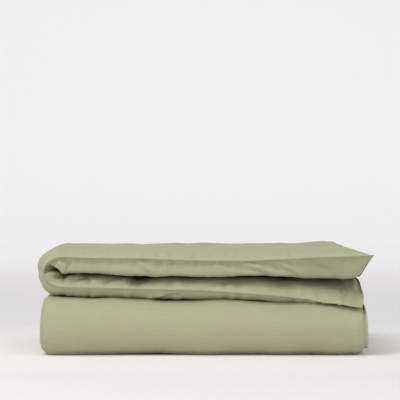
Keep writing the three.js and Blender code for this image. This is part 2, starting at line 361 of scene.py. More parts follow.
def ripple(length, waves=22):
    """A smooth random surface about one high, with bumps about length apart, as a function."""
    heading = dice.uniform(0, 2 * np.pi, waves)
    pitch = 2 * np.pi / (length * dice.uniform(0.75, 1.5, waves))
    start = dice.uniform(0, 2 * np.pi, waves)

    def surface(u, v):
        total = np.zeros(np.broadcast(u, v).shape)
        for a, k, b in zip(heading, pitch, start):
            total += np.cos(k * (np.cos(a) * u + np.sin(a) * v) + b)
        return total / math.sqrt(waves / 2)
    return surface


long_lumps, short_lumps, puckers = ripple(0.22), ripple(0.09), ripple(0.020)
LONG_LUMP, SHORT_LUMP, PUCKER = 0.0022, 0.0010, 0.0015
CALM_TOP = 0.55              # share of the lumps that is left near the head end


def seam_inset(u, v):
    return np.clip(np.minimum(side_distance(u), np.minimum(v, CUT_LENGTH - v)), 0, None)


def relief(u, v):
    """How far the cloth stands out from its smooth shape."""
    inset = seam_inset(u, v)
    lump = long_lumps(u, v) * LONG_LUMP + short_lumps(u, v) * SHORT_LUMP
    lump = lump * mix(CALM_TOP, 1, smooth(v / v_rear - 0.5))
    pucker = puckers(u, v * 0.15) * PUCKER * np.exp(-inset / 0.03) * (1 - np.exp(-inset / 0.006))
    return lump * np.clip(inset / 0.05, 0, 1) + pucker


# %% Drag folds on the front
# (x, height) of each fold's two ends, its half width and how far it stands out or in
LINING_FOLDS = [
    ((-0.341, 0.226), (-0.326, 0.192), 0.0075, 0.0060),
    ((-0.313, 0.224), (-0.324, 0.196), 0.0035, -0.0060),
    ((-0.205, 0.220), (-0.222, 0.196), 0.0080, -0.0022),
    ((-0.150, 0.222), (-0.105, 0.190), 0.0070, 0.0045),
    ((-0.170, 0.216), (-0.128, 0.188), 0.0070, -0.0030),
    ((0.060, 0.216), (0.150, 0.190), 0.0070, -0.0045),
    ((0.085, 0.222), (0.185, 0.190), 0.0075, 0.0060),
    ((0.150, 0.222), (0.215, 0.190), 0.0060, -0.0045),
    ((0.165, 0.225), (0.245, 0.186), 0.0060, 0.0055),
    ((0.020, 0.220), (0.070, 0.192), 0.0080, 0.0030),
    ((0.225, 0.224), (0.300, 0.196), 0.0090, -0.0050),
    ((0.270, 0.232), (0.330, 0.222), 0.0045, -0.0025),
    ((-0.376, 0.190), (-0.338, 0.1895), 0.0045, 0.0070),
    ((-0.352, 0.184), (-0.325, 0.183), 0.0030, -0.0050),
    ((-0.330, 0.178), (-0.292, 0.186), 0.0045, 0.0040),
    ((-0.306, 0.174), (-0.275, 0.184), 0.0035, -0.0040),
    ((-0.262, 0.170), (-0.236, 0.184), 0.0050, 0.0030),
    ((-0.244, 0.168), (-0.212, 0.180), 0.0035, -0.0035),
    ((-0.200, 0.172), (-0.165, 0.184), 0.0060, 0.0030),
    ((0.020, 0.165), (0.075, 0.176), 0.0070, -0.0020),
    ((0.325, 0.158), (0.338, 0.140), 0.0050, -0.0040),
    ((0.342, 0.165), (0.352, 0.138), 0.0045, 0.0040),
]
FACE_FOLDS = [
    ((-0.132, 0.136), (-0.060, 0.152), 0.0050, 0.0050),
    ((-0.110, 0.134), (-0.040, 0.146), 0.0040, -0.0040),
    ((-0.175, 0.138), (-0.150, 0.150), 0.0050, -0.0015),
    ((0.150, 0.128), (0.290, 0.1225), 0.0035, 0.0025),
    ((-0.139, 0.072), (-0.136, 0.010), 0.0040, -0.0016),
    ((-0.130, 0.064), (-0.130, 0.006), 0.0050, 0.0012),
    ((0.040, 0.060), (0.075, 0.030), 0.0100, 0.0010),
    ((0.105, 0.236), (0.150, 0.246), 0.0080, -0.0020),
    ((-0.030, 0.238), (0.020, 0.246), 0.0080, -0.0016),
]


def drag(p, v, folds):
    """Soft ridges and valleys between pairs of places on the front."""
    out = np.zeros(v.shape)
    at_front = (p[..., 1] < front_y + 0.05) & (v < v_bottom)
    for (x1, z1), (x2, z2), width, height in folds:
        length = math.hypot(x2 - x1, z2 - z1)
        ex, ez = (x2 - x1) / length, (z2 - z1) / length
        s = ((p[..., 0] - x1) * ex + (p[..., 2] - z1) * ez) / length
        off = (p[..., 0] - x1) * -ez + (p[..., 2] - z1) * ex
        taper = smooth((s + 0.15) / 0.35) * smooth((1.15 - s) / 0.35)
        out += height * np.exp(-((off / width) ** 2)) * taper
    return out * at_front


def panel_surface(u, v, side, depth=0.0):
    """A panel's outer surface with its relief, and its outward normals."""
    p = cover_point(u, v, side)
    n = grid_normals(p) * side
    seam_hold = smooth(seam_inset(u, v) / 0.012)
    at_rear = hump(v, v_rear, 0.025) + hump(v, v_middle, 0.025)
    at_front = hump(v, v_front, 0.025) + hump(v, v_bottom, 0.025)
    at_pivot = np.where(u > CUT_WIDTH / 2, at_rear, at_front) * (side > 0)
    rise = relief(u, v) * (1 - np.clip(at_pivot, 0, 1))
    rise += seam_hold * drag(p, v, FACE_FOLDS if side > 0 else LINING_FOLDS)
    p = p + n * (rise - depth)[..., None]
    p[..., 2] = np.maximum(p[..., 2], LOWEST)
    return p, grid_normals(p) * side


def lines(*stops):
    """Grid lines from (from, to, spacing) stretches."""
    out = []
    for start, end, spacing in stops:
        n = max(1, round((end - start) / spacing))
        out.extend(np.linspace(start, end, n + 1)[:-1])
    out.append(stops[-1][1])
    return np.array(out)


# %% Grid lines of the flat cover
W2 = CUT_WIDTH / 2
u_lines = lines((-SIDE_FLANGE, 0, 0.003), (0, 0.06, 0.003), (0.06, W2 - 0.12, 0.0050),
                (W2 - 0.12, W2 + 0.12, 0.003), (W2 + 0.12, CUT_WIDTH - 0.06, 0.0050),
                (CUT_WIDTH - 0.06, CUT_WIDTH, 0.003), (CUT_WIDTH, CUT_WIDTH + SIDE_FLANGE, 0.003))
v_lines = lines((-HEAD_FLANGE, 0, 0.0013), (0, 0.006, 0.0012), (0.006, 0.07, 0.0022), (0.07, 0.09, 0.0035),
                (0.09, v_rear, 0.007), (v_rear, v_middle, 0.003), (v_middle, v_front, 0.0085),
                (v_front, v_bottom, 0.002), (v_bottom, CUT_LENGTH - 0.05, 0.0085),
                (CUT_LENGTH - 0.05, CUT_LENGTH, 0.0035), (CUT_LENGTH, CUT_LENGTH + HEM, 0.004))
print("grid", len(u_lines), "x", len(v_lines))
stretch_ends = {"top_third": (-HEAD_FLANGE, v_rear), "rear_fold": (v_rear, v_middle),
                "middle_third": (v_middle, v_front), "front_fold": (v_front, v_bottom),
                "bottom_third": (v_bottom, CUT_LENGTH + HEM)}


# %% Grid to mesh
def grid_normals(p):
    du = np.gradient(p, axis=1)
    dv = np.gradient(p, axis=0)
    n = np.cross(dv, du)
    return n / np.maximum(np.linalg.norm(n, axis=-1, keepdims=True), 1e-12)


def shell(name, outer, inner, uv, normals):
    """A closed thin mesh between two grids, shaded with the given outer normals. Its wear
    attribute is one along the sewn edges and the width fold, and fades away from them."""
    rows, cols = outer.shape[:2]
    verts = np.concatenate([outer.reshape(-1, 3), inner.reshape(-1, 3)])
    index = np.arange(rows * cols).reshape(rows, cols)
    a, b = index[:-1, :-1].ravel(), index[:-1, 1:].ravel()
    c, d = index[1:, 1:].ravel(), index[1:, :-1].ravel()
    n = rows * cols
    faces = [np.stack([a, b, c, d], 1), np.stack([a, d, c, b], 1) + n]
    rim = np.concatenate([index[0, :], index[1:, -1], index[-1, -2::-1], index[-2:0:-1, 0]])
    nxt = np.roll(rim, -1)
    faces.append(np.stack([rim, rim + n, nxt + n, nxt], 1))
    faces = np.concatenate(faces)
    mesh = bpy.data.meshes.new(name)
    mesh.vertices.add(len(verts))
    mesh.vertices.foreach_set("co", verts.astype(np.float32).ravel())
    mesh.loops.add(faces.size)
    mesh.loops.foreach_set("vertex_index", faces.astype(np.int32).ravel())
    mesh.polygons.add(len(faces))
    mesh.polygons.foreach_set("loop_start", np.arange(0, faces.size, 4, dtype=np.int32))
    mesh.polygons.foreach_set("loop_total", np.full(len(faces), 4, dtype=np.int32))
    mesh.update(calc_edges=True)
    layer = mesh.uv_layers.new(name="cloth")
    flat_uv = np.concatenate([uv.reshape(-1, 2)] * 2)
    layer.data.foreach_set("uv", flat_uv[faces.ravel()].astype(np.float32).ravel())
    mesh.polygons.foreach_set("use_smooth", np.ones(len(faces), dtype=bool))
    rub = np.exp(-np.abs(seam_inset(flat_uv[:, 0], flat_uv[:, 1])) / 0.004)
    rub += 0.35 * np.exp(-np.abs(flat_uv[:, 0] - CUT_WIDTH / 2) / 0.05)
    mesh.attributes.new("wear", "FLOAT", "POINT").data.foreach_set("value", rub.astype(np.float32))
    both = np.concatenate([normals.reshape(-1, 3), -normals.reshape(-1, 3)])
    corner_normals = both[faces.ravel()]
    quads = 2 * (rows - 1) * (cols - 1)
    e1 = verts[faces[quads:, 1]] - verts[faces[quads:, 0]]
    e2 = verts[faces[quads:, 2]] - verts[faces[quads:, 0]]
    rim_normals = np.cross(e1, e2)
    rim_normals /= np.maximum(np.linalg.norm(rim_normals, axis=1, keepdims=True), 1e-12)
    corner_normals[quads * 4:] = np.repeat(rim_normals, 4, axis=0)
    mesh.normals_split_custom_set(corner_normals.tolist())
    return add_object(name, mesh)


# %% The two panels
U, V = np.meshgrid(u_lines, v_lines)
cover_pieces, cloth_at = {}, {}
for panel, side in (("face", 1), ("lining", -1)):
    outer, normals = panel_surface(U, V, side)
    cloth_at[panel] = (outer, normals)
    inner = outer - normals * CLOTH
    uv = np.stack([U, V], -1)
    for stretch, (start, end) in stretch_ends.items():
        rows = slice(np.searchsorted(v_lines, start - 1e-9),
                     np.searchsorted(v_lines, end - 1e-9) + 1)
        grids = [k[rows] for k in (outer, inner, uv, normals)]
        if side > 0:
            grids = [k[:, ::-1] for k in grids]
        piece = shell(f"cover_{panel}_{stretch}_cloth", *grids)
        cover_pieces[panel, stretch] = piece
        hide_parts(f"cover_{panel}_{stretch}")
print(len(cover_pieces), "cover pieces, quads", sum(len(p.data.polygons) for p in cover_pieces.values()))

# %% [markdown]
# ## The quilt inside
# The quilt is a second bag inside the cover, sewn through in rows and columns. Between the
# lines of quilting the filling stands up, and along them both cloths are drawn together.

# %% The quilt
ROWS, COLUMNS = 7, 4
CASING_DEPTH = 0.0045        # from the cover's surface to the quilt's
FURROW_DEPTH, FURROW_WIDTH = 0.007, 0.014
FOLD_MARGIN = 0.010          # the quilt's pieces stop this far short of the fold cuts
quilt_u = lines((0.030, 0.06, 0.015), (0.06, W2 - 0.09, 0.015), (W2 - 0.09, W2 + 0.09, 0.009),
                (W2 + 0.09, CUT_WIDTH - 0.06, 0.015), (CUT_WIDTH - 0.06, CUT_WIDTH - 0.030, 0.015))
quilt_v = lines((0.032, 0.09, 0.012), (0.09, v_rear, 0.015), (v_rear, v_middle, 0.008),
                (v_middle, v_front, 0.015), (v_front, v_bottom, 0.008), (v_bottom, CUT_LENGTH - 0.012, 0.015))


def quilting(u, v):
    """Depth of the furrows along the quilting lines."""
    row, column = CUT_LENGTH / ROWS, CUT_WIDTH / COLUMNS
    to_row = np.abs((v + row / 2) % row - row / 2)
    to_column = np.abs((u + column / 2) % column - column / 2)
    return FURROW_DEPTH * np.exp(-np.minimum(to_row, to_column) / FURROW_WIDTH)


UQ, VQ = np.meshgrid(quilt_u, quilt_v)
quilt_depth = CASING_DEPTH + quilting(UQ, VQ) * np.clip(seam_inset(UQ, VQ) / 0.08, 0, 1)
quilt_face, quilt_normals = panel_surface(UQ, VQ, 1, quilt_depth)
quilt_back, _ = panel_surface(UQ, VQ, -1, quilt_depth)
quilt_rows = {"top_third": (1, 2), "rear_fold": (3,), "middle_third": (4,), "front_fold": (5,),
              "bottom_third": (6, 7)}
quilt_pieces = {}
for stretch, (start, end) in stretch_ends.items():
    rows = slice(np.searchsorted(quilt_v, start + FOLD_MARGIN),
                 np.searchsorted(quilt_v, end - FOLD_MARGIN))
    grids = [k[rows, ::-1] for k in (quilt_face, quilt_back, np.stack([UQ, VQ], -1), quilt_normals)]
    piece = shell(f"quilt_{stretch}", *grids)
    quilt_pieces[stretch] = piece
    nodes = [f"quilt_{cloth}_casing_{stretch}" for cloth in ("face", "back")]
    nodes += [f"filling_row_{row}_pocket_{k}"
              for row in quilt_rows[stretch] for k in range(1, COLUMNS + 1)]
    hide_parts(*nodes)
print("quilt quads", sum(len(p.data.polygons) for p in quilt_pieces.values()))

# %% [markdown]
# ## What moves with what
# Each third rides on its own body. The two fold pieces ride on no body: their transforms are baked in where
# they lie.

# %% Riding and baking
def hinge_blend(piece, stretch):
    if stretch == "rear_fold":
        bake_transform(piece)
    elif stretch == "front_fold":
        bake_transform(piece)
    else:
        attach(piece, stretch)


for (panel, stretch), piece in cover_pieces.items():
    hinge_blend(piece, stretch)
for stretch, piece in quilt_pieces.items():
    hinge_blend(piece, stretch)

# %% [markdown]
# ## Sewing
# The cover is sewn flat outside its side seams and twice along the button hem, with small
# lockstitches. A stitch repeats thousands of times along a path, so Geometry Nodes place it:
# the path is resampled to the stitch length and a tiny rounded stitch is put on every point,
# turned along the path and square to the cloth. The same tree, turned a quarter, makes the
# close whipped edge of a buttonhole.

# %% Places on the sewn cloth
def on_cloth(panel, u, v, lift=0.0):
    """Places and normals on a panel's finished surface, between its grid lines."""
    place, normal = cloth_at[panel]
    u, v = np.atleast_1d(u).astype(float), np.atleast_1d(v).astype(float)
    i = np.clip(np.searchsorted(u_lines, u) - 1, 0, len(u_lines) - 2)
    j = np.clip(np.searchsorted(v_lines, v) - 1, 0, len(v_lines) - 2)
    s = ((u - u_lines[i]) / (u_lines[i + 1] - u_lines[i]))[:, None]
    t = ((v - v_lines[j]) / (v_lines[j + 1] - v_lines[j]))[:, None]
    place, normal = (mix(mix(k[j, i], k[j, i + 1], s), mix(k[j + 1, i], k[j + 1, i + 1], s), t)
                     for k in (place, normal))
    normal = normal / np.linalg.norm(normal, axis=1, keepdims=True)
    return place + normal * lift, normal


def path_object(name, paths):
    """Polylines with the cloth's normal kept on every point as up."""
    places, ups, links = [], [], []
    for place, up in paths:
        start = len(places)
        places.extend(place.tolist())
        ups.extend(up.tolist())
        links.extend((start + k, start + k + 1) for k in range(len(place) - 1))
    mesh = bpy.data.meshes.new(name)
    mesh.from_pydata(places, links, [])
    up_layer = mesh.attributes.new("up", "FLOAT_VECTOR", "POINT")
    up_layer.data.foreach_set("vector", np.array(ups, np.float32).ravel())
    return add_object(name, mesh)


# %% Finishes are named first, so that the trees can set them
def new_finish(name):
    finish = bpy.data.materials.new(name)
    finish.use_nodes = True
    return finish


cotton, ticking = new_finish("sage cotton"), new_finish("white ticking")
thread, resin, tape = new_finish("sage thread"), new_finish("dyed resin"), new_finish("woven tape")


# %% A tree that sews along a path
STITCH_WOBBLE = 0.10         # how far a stitch may turn out of line, in radians


def new_tree(name, inputs):
    """A Geometry Nodes tree with the given named inputs after the geometry."""
    tree = bpy.data.node_groups.new(name, "GeometryNodeTree")
    tree.interface.new_socket(name="Geometry", in_out="INPUT", socket_type="NodeSocketGeometry")
    for label, kind, value in inputs:
        socket = tree.interface.new_socket(name=label, in_out="INPUT", socket_type="NodeSocket" + kind)
        if value is not None:
            socket.default_value = value
    tree.interface.new_socket(name="Geometry", in_out="OUTPUT", socket_type="NodeSocketGeometry")
    return tree


def wire(tree, *links):
    """Links each (node, its output, other node, its input)."""
    for node, output, other, socket in links:
        tree.links.new(node.outputs[output], other.inputs[socket])


def sewing_tree(name, finish):
    tree = new_tree(name, (("Pitch", "Float", 0.003), ("Stitch length", "Float", 0.0024),
                           ("Thread thickness", "Float", 0.00045), ("Turn", "Float", 0.0),
                           ("Seed", "Int", 3)))
    new = tree.nodes.new
    start, end = new("NodeGroupInput"), new("NodeGroupOutput")
    curve = new("GeometryNodeMeshToCurve")
    spaced = new("GeometryNodeResampleCurve")
    spaced.mode = "LENGTH"
    ball = new("GeometryNodeMeshUVSphere")
    ball.inputs["Segments"].default_value, ball.inputs["Rings"].default_value = 6, 4
    ball.inputs["Radius"].default_value = 0.5
    size = new("ShaderNodeCombineXYZ")
    shape = new("GeometryNodeTransform")
    tangent = new("GeometryNodeInputTangent")
    up = new("GeometryNodeInputNamedAttribute")
    up.data_type = "FLOAT_VECTOR"
    up.inputs["Name"].default_value = "up"
    lie, stand = new("FunctionNodeAlignRotationToVector"), new("FunctionNodeAlignRotationToVector")
    lie.axis, stand.axis, stand.pivot_axis = "X", "Z", "X"
    wobble = new("FunctionNodeRandomValue")
    wobble.inputs[2].default_value, wobble.inputs[3].default_value = -STITCH_WOBBLE, STITCH_WOBBLE
    angle = new("ShaderNodeMath")
    turned = new("FunctionNodeRotateRotation")
    turned.rotation_space = "LOCAL"
    about_up = new("ShaderNodeCombineXYZ")
    as_rotation = new("FunctionNodeEulerToRotation")
    place = new("GeometryNodeInstanceOnPoints")
    real, dyed = new("GeometryNodeRealizeInstances"), new("GeometryNodeSetMaterial")
    dyed.inputs["Material"].default_value = finish
    wire(tree, (start, "Geometry", curve, "Mesh"), (curve, "Curve", spaced, "Curve"),
         (start, "Pitch", spaced, "Length"), (start, "Stitch length", size, "X"),
         (start, "Thread thickness", size, "Y"), (start, "Thread thickness", size, "Z"),
         (ball, "Mesh", shape, "Geometry"), (size, "Vector", shape, "Scale"),
         (tangent, "Tangent", lie, "Vector"), (lie, "Rotation", stand, "Rotation"),
         (up, "Attribute", stand, "Vector"), (start, "Seed", wobble, "Seed"), (wobble, 1, angle, 0),
         (start, "Turn", angle, 1), (angle, "Value", about_up, "Z"),
         (about_up, "Vector", as_rotation, "Euler"), (stand, "Rotation", turned, "Rotation"),
         (as_rotation, "Rotation", turned, "Rotate By"), (spaced, "Curve", place, "Points"),
         (shape, "Geometry", place, "Instance"), (turned, "Rotation", place, "Rotation"),
         (place, "Instances", real, "Geometry"), (real, "Geometry", dyed, "Geometry"),
         (dyed, "Geometry", end, "Geometry"))
    return tree


def run_tree(obj, tree, finish, **values):
    """Puts a tree on an object with the given inputs and turns the result into plain mesh."""
    modifier = obj.modifiers.new(tree.name, "NODES")
    modifier.node_group = tree
    names = {item.name: item.identifier for item in tree.interface.items_tree
             if item.item_type == "SOCKET" and item.in_out == "INPUT"}
    for name, value in values.items():
        modifier[names[name.replace("_", " ")]] = value
    view = bpy.context.evaluated_depsgraph_get()
    mesh = bpy.data.meshes.new_from_object(obj.evaluated_get(view), depsgraph=view)
    obj.modifiers.remove(modifier)
    obj.data = mesh
    if not mesh.materials:
        mesh.materials.append(finish)
    for polygon in mesh.polygons:
        polygon.use_smooth = True
    return obj


# %% Lockstitches along the seams
PITCH, STITCH, THREAD = 0.0032, 0.0026, 0.00050
lockstitch = sewing_tree("lockstitch", thread)


def sew(path, pitch, length, thickness, seed, turn=0.0):
    run_tree(path, lockstitch, thread, Pitch=pitch, Stitch_length=length,
             Thread_thickness=thickness, Turn=turn, Seed=seed)


SUNK = 0.0001                # a stitch's middle lies this far over the cloth, so it sits in it
hem_rows = (CUT_LENGTH + 0.0025, CUT_LENGTH + HEM - 0.0035)
stitch_pieces = {}
for stretch, (start, end) in stretch_ends.items():
    rows = []
    along_seam = np.arange(max(start, 0.002), min(end, CUT_LENGTH) - 0.001, 0.004)
    across_hem = np.arange(0.003, CUT_WIDTH - 0.002, 0.004)
    for panel in ("face", "lining"):
        for seam in (0.0, CUT_WIDTH):
            rows.append(on_cloth(panel, np.full(len(along_seam), seam), along_seam, SUNK))
        if stretch == "bottom_third":
            rows += [on_cloth(panel, across_hem, np.full(len(across_hem), row), SUNK) for row in hem_rows]
    piece = path_object(f"lockstitches_{stretch}", rows)
    sew(piece, PITCH, STITCH, THREAD, seed=3)
    stitch_pieces[stretch] = piece
print("stitch faces", {k: len(p.data.polygons) for k, p in stitch_pieces.items()})

# %% [markdown]
# ## Buttons and buttonholes
# Six resin buttons close the foot. One button is turned like a plate with a raised rim, its
# four holes are cut, and a small tree sets a copy on each seat. Under it lies a buttonhole, a
# long loop whipped with the same stitch turned across the path.

# %% One button
BUTTON_COUNT, BUTTON_PITCH, BUTTON_RADIUS, BUTTON_HIGH = 6, 0.22, 0.0075, 0.0026
HOLE_PITCH, HOLE_RADIUS = 0.003, 0.0009


def turned_plate(profile, segments=32):
    """A closed plate turned about Z from (radius, height) pairs that start and end on the axis."""
    verts = [(0, 0, profile[0][1])]
    angles = np.linspace(0, 2 * math.pi, segments, endpoint=False)
    for r, z in profile[1:-1]:
        verts += [(r * math.cos(a), r * math.sin(a), z) for a in angles]
    verts.append((0, 0, profile[-1][1]))
    last = len(verts) - 1 - segments
    faces = []
    for i in range(segments):
        j = (i + 1) % segments
        faces.append((0, 1 + j, 1 + i))
        for ring in range(1, last, segments):
            faces.append((ring + i, ring + j, ring + segments + j, ring + segments + i))
        faces.append((len(verts) - 1, last + i, last + j))
    mesh = bpy.data.meshes.new("plate")
    mesh.from_pydata(verts, [], faces)
    return add_object("plate", mesh)


R, T = BUTTON_RADIUS, BUTTON_HIGH
button_form = turned_plate([(0, 0), (0.80 * R, 0), (0.95 * R, 0.15 * T), (R, 0.45 * T),
                            (0.98 * R, 0.80 * T), (0.90 * R, T), (0.80 * R, T), (0.70 * R, 0.86 * T),
                            (0.55 * R, 0.74 * T), (0, 0.72 * T)])
for sx, sy in ((1, 1), (-1, 1), (-1, -1), (1, -1)):
    drill = turned_plate([(0, -T), (HOLE_RADIUS, -T), (HOLE_RADIUS, 2 * T), (0, 2 * T)], 12)
    for vertex in drill.data.vertices:
        vertex.co.x += sx * HOLE_PITCH / 2
        vertex.co.y += sy * HOLE_PITCH / 2
    cut = button_form.modifiers.new("hole", "BOOLEAN")
    cut.operation, cut.solver, cut.object = "DIFFERENCE", "EXACT", drill
    view = bpy.context.evaluated_depsgraph_get()
    bored = bpy.data.meshes.new_from_object(button_form.evaluated_get(view), depsgraph=view)
    button_form.modifiers.remove(cut)
    button_form.data = bored
    bpy.data.objects.remove(drill)
print("button faces", len(button_form.data.polygons))


# %% A tree that sets a form on each seat
def seating_tree(name, finish):
    tree = new_tree(name, (("Form", "Object", None),))
    new = tree.nodes.new
    start, end, form = new("NodeGroupInput"), new("NodeGroupOutput"), new("GeometryNodeObjectInfo")
    up, stand = new("GeometryNodeInputNamedAttribute"), new("FunctionNodeAlignRotationToVector")
    up.data_type, stand.axis = "FLOAT_VECTOR", "Z"
    up.inputs["Name"].default_value = "up"
    place, real = new("GeometryNodeInstanceOnPoints"), new("GeometryNodeRealizeInstances")
    dyed = new("GeometryNodeSetMaterial")
    dyed.inputs["Material"].default_value = finish
    wire(tree, (start, "Geometry", place, "Points"), (start, "Form", form, "Object"),
         (form, "Geometry", place, "Instance"), (up, "Attribute", stand, "Vector"),
         (stand, "Rotation", place, "Rotation"), (place, "Instances", real, "Geometry"),
         (real, "Geometry", dyed, "Geometry"), (dyed, "Geometry", end, "Geometry"))
    return tree


# %% Buttons, their thread and the buttonholes
button_u = CUT_WIDTH / 2 + (np.arange(BUTTON_COUNT) - (BUTTON_COUNT - 1) / 2) * BUTTON_PITCH
button_v = np.full(BUTTON_COUNT, CUT_LENGTH + HEM / 2)
seats = on_cloth("face", button_u, button_v, 0.0006)
single_seats = [(seats[0][k:k + 1], seats[1][k:k + 1]) for k in range(BUTTON_COUNT)]
buttons = path_object("foot_buttons", single_seats)
run_tree(buttons, seating_tree("button seats", resin), resin, Form=button_form)
bpy.data.objects.remove(button_form)
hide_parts(*[f"foot_button_{k + 1}" for k in range(BUTTON_COUNT)])
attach(buttons, "bottom_third")

HOLE_RUN, HOLE_HALF = 0.0165, 0.0013
loop = np.linspace(0, 2 * np.pi, 49)
loop_u = np.sign(np.cos(loop)) * HOLE_RUN / 2 + HOLE_HALF * np.cos(loop)
loop_v = HOLE_HALF * np.sin(loop)
whips = [on_cloth("face", u + loop_u, v + loop_v, 0.0002) for u, v in zip(button_u, button_v)]
buttonholes = path_object("buttonhole_whipping", whips)
sew(buttonholes, 0.0007, 0.0024, THREAD, seed=5, turn=math.pi / 2)
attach(buttonholes, "bottom_third")

bridges = []
for k in range(BUTTON_COUNT):
    up = Vector(seats[1][k])
    to_x = (Vector((1, 0, 0)) - up * up.x).normalized()
    to_y = up.cross(to_x)
    for sy in (-1, 1):
        arc = []
        for t in np.linspace(-1, 1, 7):
            height = T * (0.74 + 0.16 * (1 - t * t)) if abs(t) < 1 else 0.3 * T
            across_holes = to_x * (t * HOLE_PITCH / 2) + to_y * (sy * HOLE_PITCH / 2)
            arc.append(Vector(seats[0][k]) + across_holes + up * height)
        bridges.append((np.array(arc), np.tile(np.array(up), (7, 1))))
button_thread = path_object("button_thread", bridges)
sew(button_thread, 0.0005, 0.0011, 0.0006, seed=7)
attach(button_thread, "bottom_third")
print("buttons", len(buttons.data.polygons), "whipping", len(buttonholes.data.polygons))

# %% [markdown]
# ## Care label
# A short blank tape sewn flat on the foot hem by its two ends, slightly bowed between them.

# %% Care label
LABEL_U, LABEL_V = (0.060, 0.096), (CUT_LENGTH + 0.004, CUT_LENGTH + 0.026)
TAPE, BOW = 0.0005, 0.0011   # the tape's thickness and how far its middle stands up
LU, LV = np.meshgrid(np.linspace(*LABEL_U, 19), np.linspace(*LABEL_V, 12))
bow = BOW * np.sin(np.pi * (LU - LABEL_U[0]) / (LABEL_U[1] - LABEL_U[0])) ** 0.7
low, label_up = on_cloth("face", LU.ravel(), LV.ravel(), 0.0004)
label_up = label_up.reshape(12, 19, 3)
low = low.reshape(12, 19, 3) + label_up * bow[..., None]
label_uv = np.stack([LU, LV], -1)
label = shell("care_label_tape", *[k[:, ::-1] for k in (low + label_up * TAPE, low, label_uv, label_up)])
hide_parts("care_label")
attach(label, "bottom_third")
label_rows = []
for u in (LABEL_U[0] + 0.002, LABEL_U[1] - 0.002):
    v = np.linspace(LABEL_V[0] + 0.001, LABEL_V[1] - 0.001, 8)
    label_rows.append(on_cloth("face", np.full(8, u), v, 0.0004 + TAPE + 0.0003))
label_stitches = path_object("care_label_stitches", label_rows)
sew(label_stitches, 0.0028, 0.0022, 0.0004, seed=9)
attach(label_stitches, "bottom_third")

for stretch, piece in stitch_pieces.items():
    hinge_blend(piece, stretch)

# %% [markdown]
# ## Finishes
# Each finish is a small tree of nodes. The cloths read their flat UV map in metres, so threads
# run with the cloth round every fold. The cotton has a plain weave, thicker slubs here and
# there in both directions, soft patches of colour and paler rubbed edges.

# %% Helpers for finishes
def open_finish(finish):
    return finish.node_tree, finish.node_tree.nodes["Principled BSDF"]


def noise(tree, coords, scale, detail=3.0, kind="FBM", stretch=None):
    """A noise texture, with a Mapping node where it is stretched. Gives its factor."""
    if stretch:
        mapping = tree.nodes.new("ShaderNodeMapping")
        mapping.inputs["Scale"].default_value = stretch
        tree.links.new(coords, mapping.inputs["Vector"])
        coords = mapping.outputs["Vector"]
    node = tree.nodes.new("ShaderNodeTexNoise")
    node.noise_type = kind
    node.inputs["Scale"].default_value = scale
    node.inputs["Detail"].default_value = detail
    tree.links.new(coords, node.inputs["Vector"])
    return node.outputs["Fac"]


def bands(tree, coords, direction, pitch):
    """Threads lying side by side, pitch apart."""
    node = tree.nodes.new("ShaderNodeTexWave")
    node.wave_type, node.bands_direction, node.wave_profile = "BANDS", direction, "SIN"
    node.inputs["Scale"].default_value = math.pi / (10 * pitch)
    node.inputs["Distortion"].default_value = 0.6
    node.inputs["Detail"].default_value = 1.0
    tree.links.new(coords, node.inputs["Vector"])
    return node.outputs["Fac"]


def maths(tree, operation, a, b, clamp=False):
    node = tree.nodes.new("ShaderNodeMath")
    node.operation, node.use_clamp = operation, clamp
    for socket, value in zip(node.inputs, (a, b)):
        if isinstance(value, (int, float)):
            socket.default_value = value
        else:
            tree.links.new(value, socket)
    return node.outputs["Value"]


def between(tree, fac, low, high):
    """A value from low to high as a factor goes from nought to one."""
    node = tree.nodes.new("ShaderNodeMapRange")
    node.inputs["From Min"].default_value, node.inputs["From Max"].default_value = 0.3, 0.7
    node.inputs["To Min"].default_value, node.inputs["To Max"].default_value = low, high
    tree.links.new(fac, node.inputs["Value"])
    return node.outputs["Result"]


def tint(tree, colour, fac, other, blend="MIX"):
    node = tree.nodes.new("ShaderNodeMix")
    node.data_type, node.blend_type = "RGBA", blend
    for socket, value in ((node.inputs[0], fac), (node.inputs[6], colour), (node.inputs[7], other)):
        if isinstance(value, tuple):
            socket.default_value = (*value, 1)
        elif isinstance(value, (int, float)):
            socket.default_value = value
        else:
            tree.links.new(value, socket)
    return node.outputs[2]


def bump(tree, height, distance, strength=1.0, onto=None):
    node = tree.nodes.new("ShaderNodeBump")
    node.inputs["Distance"].default_value = distance
    node.inputs["Strength"].default_value = strength
    tree.links.new(height, node.inputs["Height"])
    if onto is not None:
        tree.links.new(onto, node.inputs["Normal"])
    return node.outputs["Normal"]


def cloth_map(tree):
    node = tree.nodes.new("ShaderNodeUVMap")
    node.uv_map = "cloth"
    return node.outputs["UV"]


def place_map(tree):
    return tree.nodes.new("ShaderNodeTexCoord").outputs["Object"]


# %% Cotton of the cover
SAGE, SAGE_DEEP, SAGE_PALE = (0.372, 0.375, 0.232), (0.332, 0.336, 0.202), (0.452, 0.455, 0.312)
THREAD_PITCH = 0.00055
tree, shader = open_finish(cotton)
flat = cloth_map(tree)
warp, weft = bands(tree, flat, "X", THREAD_PITCH), bands(tree, flat, "Y", THREAD_PITCH)
weave = maths(tree, "MULTIPLY", warp, weft)
weft_slub = noise(tree, flat, 1.0, 2.0, stretch=(26, 620, 1))
warp_slub = noise(tree, flat, 1.0, 2.0, stretch=(620, 26, 1))
slub = maths(tree, "ADD", maths(tree, "MULTIPLY", weft_slub, 0.62),
             maths(tree, "MULTIPLY", warp_slub, 0.38))
patches = noise(tree, flat, 7.0, 4.0)
crumple = noise(tree, flat, 16.0, 4.0, kind="RIDGED_MULTIFRACTAL")
colour = tint(tree, SAGE_DEEP, between(tree, patches, 0.35, 0.95), SAGE)
